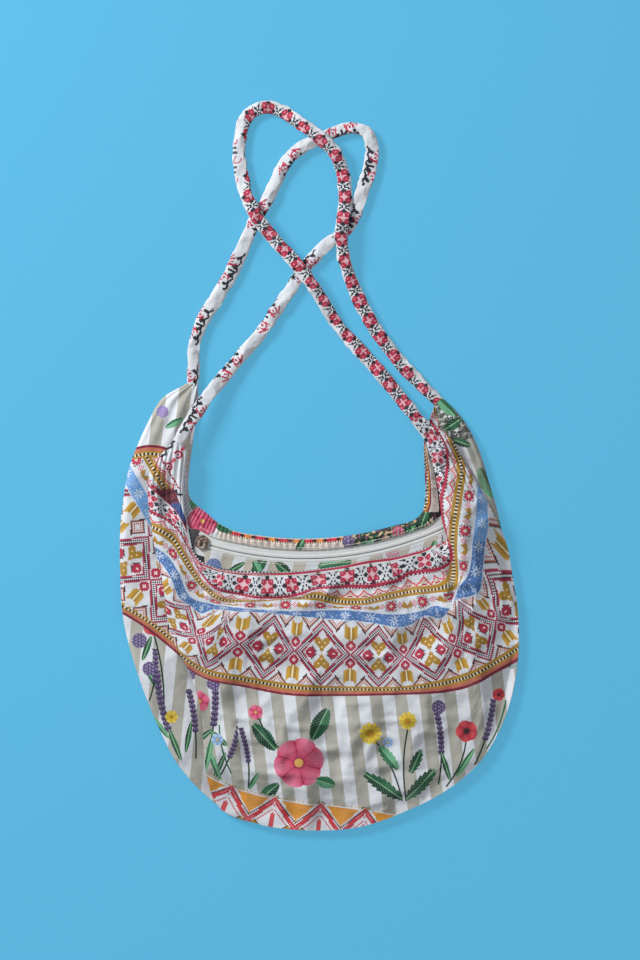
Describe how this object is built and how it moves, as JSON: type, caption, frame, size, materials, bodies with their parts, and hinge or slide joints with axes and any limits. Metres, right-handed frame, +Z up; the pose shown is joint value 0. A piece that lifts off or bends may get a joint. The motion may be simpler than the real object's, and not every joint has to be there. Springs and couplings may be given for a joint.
{
  "type": "slouch shoulder bag of printed cloth",
  "caption": "Soft crescent-shaped shoulder bag of printed cloth, lying flat and empty, with a zip across its mouth and soft tubular strap loops.",
  "frame": {"origin": "centre of the box round the bag without its straps, on the table", "axes": "+Z up from the table, +Y from the bag's bottom to its straps, +X to the right of its front"},
  "size_m": [0.3997, 0.7293, 0.0297],
  "materials": {
    "printed_cloth": "thin woven cloth with a matt folk print",
    "rim_cloth": "the same cloth where its print is dark",
    "strap_cloth": "the same cloth sewn into soft tubes",
    "zip_tape": "woven polyester tape",
    "zip_coil": "nylon coil",
    "zip_metal": "plated zinc alloy"
  },
  "bodies": {
    "bag": {"back_panel": "printed_cloth", "front_panel": "printed_cloth", "front_zip_facing": "printed_cloth", "back_rim_facing": "rim_cloth", "zip_tape_front": "zip_tape", "zip_tape_back": "zip_tape", "zip_coil_front": "zip_coil", "zip_coil_back": "zip_coil", "zip_top_stop_front": "zip_metal", "zip_top_stop_back": "zip_metal", "zip_bottom_stop": "zip_metal", "zip_end_patch": "rim_cloth", "strap_left_loop": "strap_cloth", "strap_right_loop": "strap_cloth"},
    "slider": {"zip_slider": "zip_metal"},
    "pull": {"zip_pull_tab": "zip_metal"}
  },
  "joints": [
    {"name": "zip_slide", "type": "hinge", "parent": "bag", "child": "slider", "pos_m": [-0.0153, 0.3836, 0.0096], "axis": [0, 0, 1], "range_deg": [-41, 0]},
    {"name": "pull_tab_hinge", "type": "hinge", "parent": "slider", "child": "pull", "pos_m": [0.13853, 0.08556, 0.0127], "axis": [0.4586, -0.8886, 0], "range_deg": [0, 170]}
  ]
}
